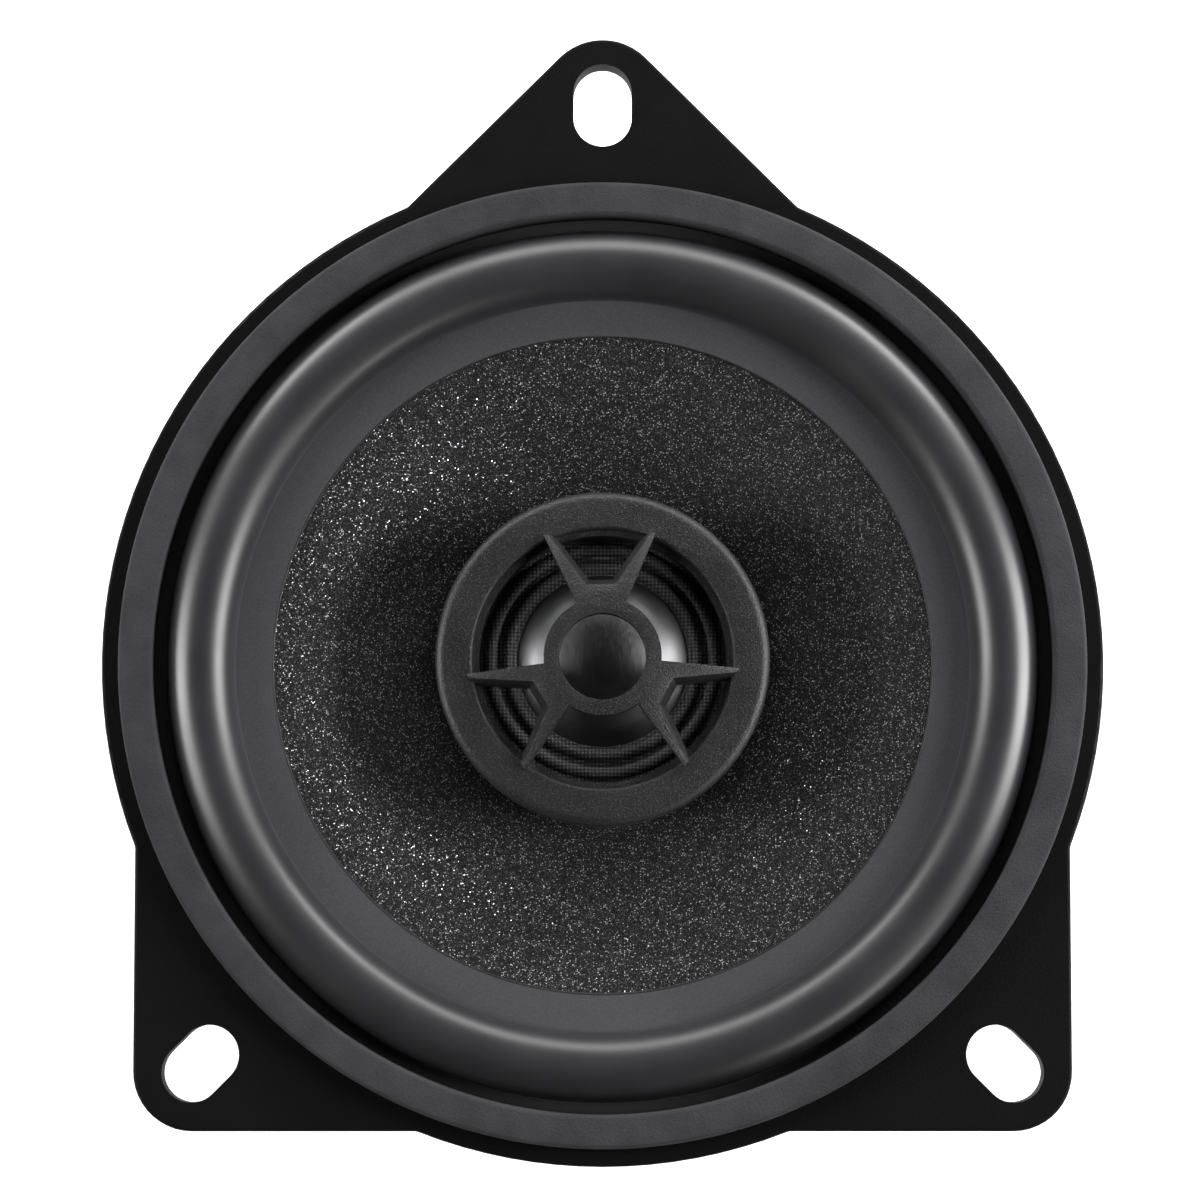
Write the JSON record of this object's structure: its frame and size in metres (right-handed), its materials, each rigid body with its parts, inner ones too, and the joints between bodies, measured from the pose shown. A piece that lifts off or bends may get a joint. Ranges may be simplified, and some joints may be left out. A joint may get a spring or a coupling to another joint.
{
  "type": "coaxial car speaker",
  "caption": "Round two-way coaxial car speaker on a flange with one pointed top ear and two square lower ears, with a tweeter behind a guard in the middle.",
  "frame": {"origin": "on the speaker's axis, at the rear face of the mounting flange", "axes": "+Z along the axis the way the speaker plays, +Y towards the single top ear, magnet at -Z"},
  "size_m": [0.1154, 0.1305, 0.0571],
  "materials": {
    "moulded_basket": "fine pebble grain, near black",
    "sponge": "closed-cell sponge, charcoal",
    "surround_rubber": "satin charcoal rubber with a fine matte grain",
    "cone_mica": "black with dense silver mica flecks",
    "former_film": "thin film, satin",
    "coil_wire": "enamelled copper wire",
    "solder": "tinned",
    "spider_cloth": "resin-treated weave, straw coloured",
    "tinsel": "braided copper tinsel",
    "plated_steel": "zinc plated",
    "ferrite": "ground ferrite, dark grey",
    "boot_rubber": "matte black rubber",
    "black_screw": "black zinc",
    "terminal_plastic": "black",
    "tinned_brass": "tinned",
    "capacitor_sleeve": "dark shrink sleeve",
    "heat_shrink": "black heat-shrink",
    "lead_red": "red insulation",
    "lead_black": "black insulation",
    "pod_plastic": "black",
    "neodymium": "nickel plated",
    "felt": "grey wool felt",
    "tweeter_cloth": "black diagonal weave, sealed",
    "dome_metal": "satin, fine vertical grain",
    "bezel_plastic": "charcoal, fine sparkle texture"
  },
  "bodies": {
    "root": {"basket": "moulded_basket", "front_gasket": "sponge", "surround": "surround_rubber", "spider": "spider_cloth", "tinsel_lead_positive": "tinsel", "tinsel_lead_negative": "tinsel", "top_plate": "plated_steel", "magnet": "ferrite", "yoke": "plated_steel", "magnet_boot": "boot_rubber", "motor_screws": "black_screw", "terminal_block": "terminal_plastic", "terminal_blade_wide": "tinned_brass", "terminal_blade_narrow": "tinned_brass", "capacitor": "capacitor_sleeve", "capacitor_lead_terminal": "solder", "capacitor_lead_tweeter": "solder", "splice_sleeve": "heat_shrink", "tweeter_lead_positive": "lead_red", "tweeter_lead_negative": "lead_black", "tweeter_post": "pod_plastic", "post_nut": "plated_steel", "tweeter_housing": "pod_plastic", "tweeter_yoke": "plated_steel", "tweeter_magnet": "neodymium", "tweeter_pole_plate": "plated_steel", "tweeter_damper": "felt", "tweeter_frame": "pod_plastic", "tweeter_surround": "tweeter_cloth", "tweeter_bezel": "bezel_plastic"},
    "cone_assembly": {"cone": "cone_mica", "voice_coil_former": "former_film", "voice_coil_winding": "coil_wire", "coil_lead_pads": "solder"},
    "tweeter_diaphragm": {"tweeter_dome": "dome_metal", "tweeter_coil_former": "former_film", "tweeter_coil_winding": "coil_wire"}
  },
  "joints": [
    {"name": "cone_travel", "type": "slide", "parent": "root", "child": "cone_assembly", "axis": [0, 0, 1], "range_m": [-0.003, 0.003], "stiffness_N_per_m": 2000, "deforming": ["surround", "spider", "tinsel_lead_positive", "tinsel_lead_negative"]},
    {"name": "tweeter_travel", "type": "slide", "parent": "root", "child": "tweeter_diaphragm", "axis": [0, 0, 1], "range_m": [-0.0003, 0.0003], "stiffness_N_per_m": 2000, "deforming": ["tweeter_surround"]}
  ]
}
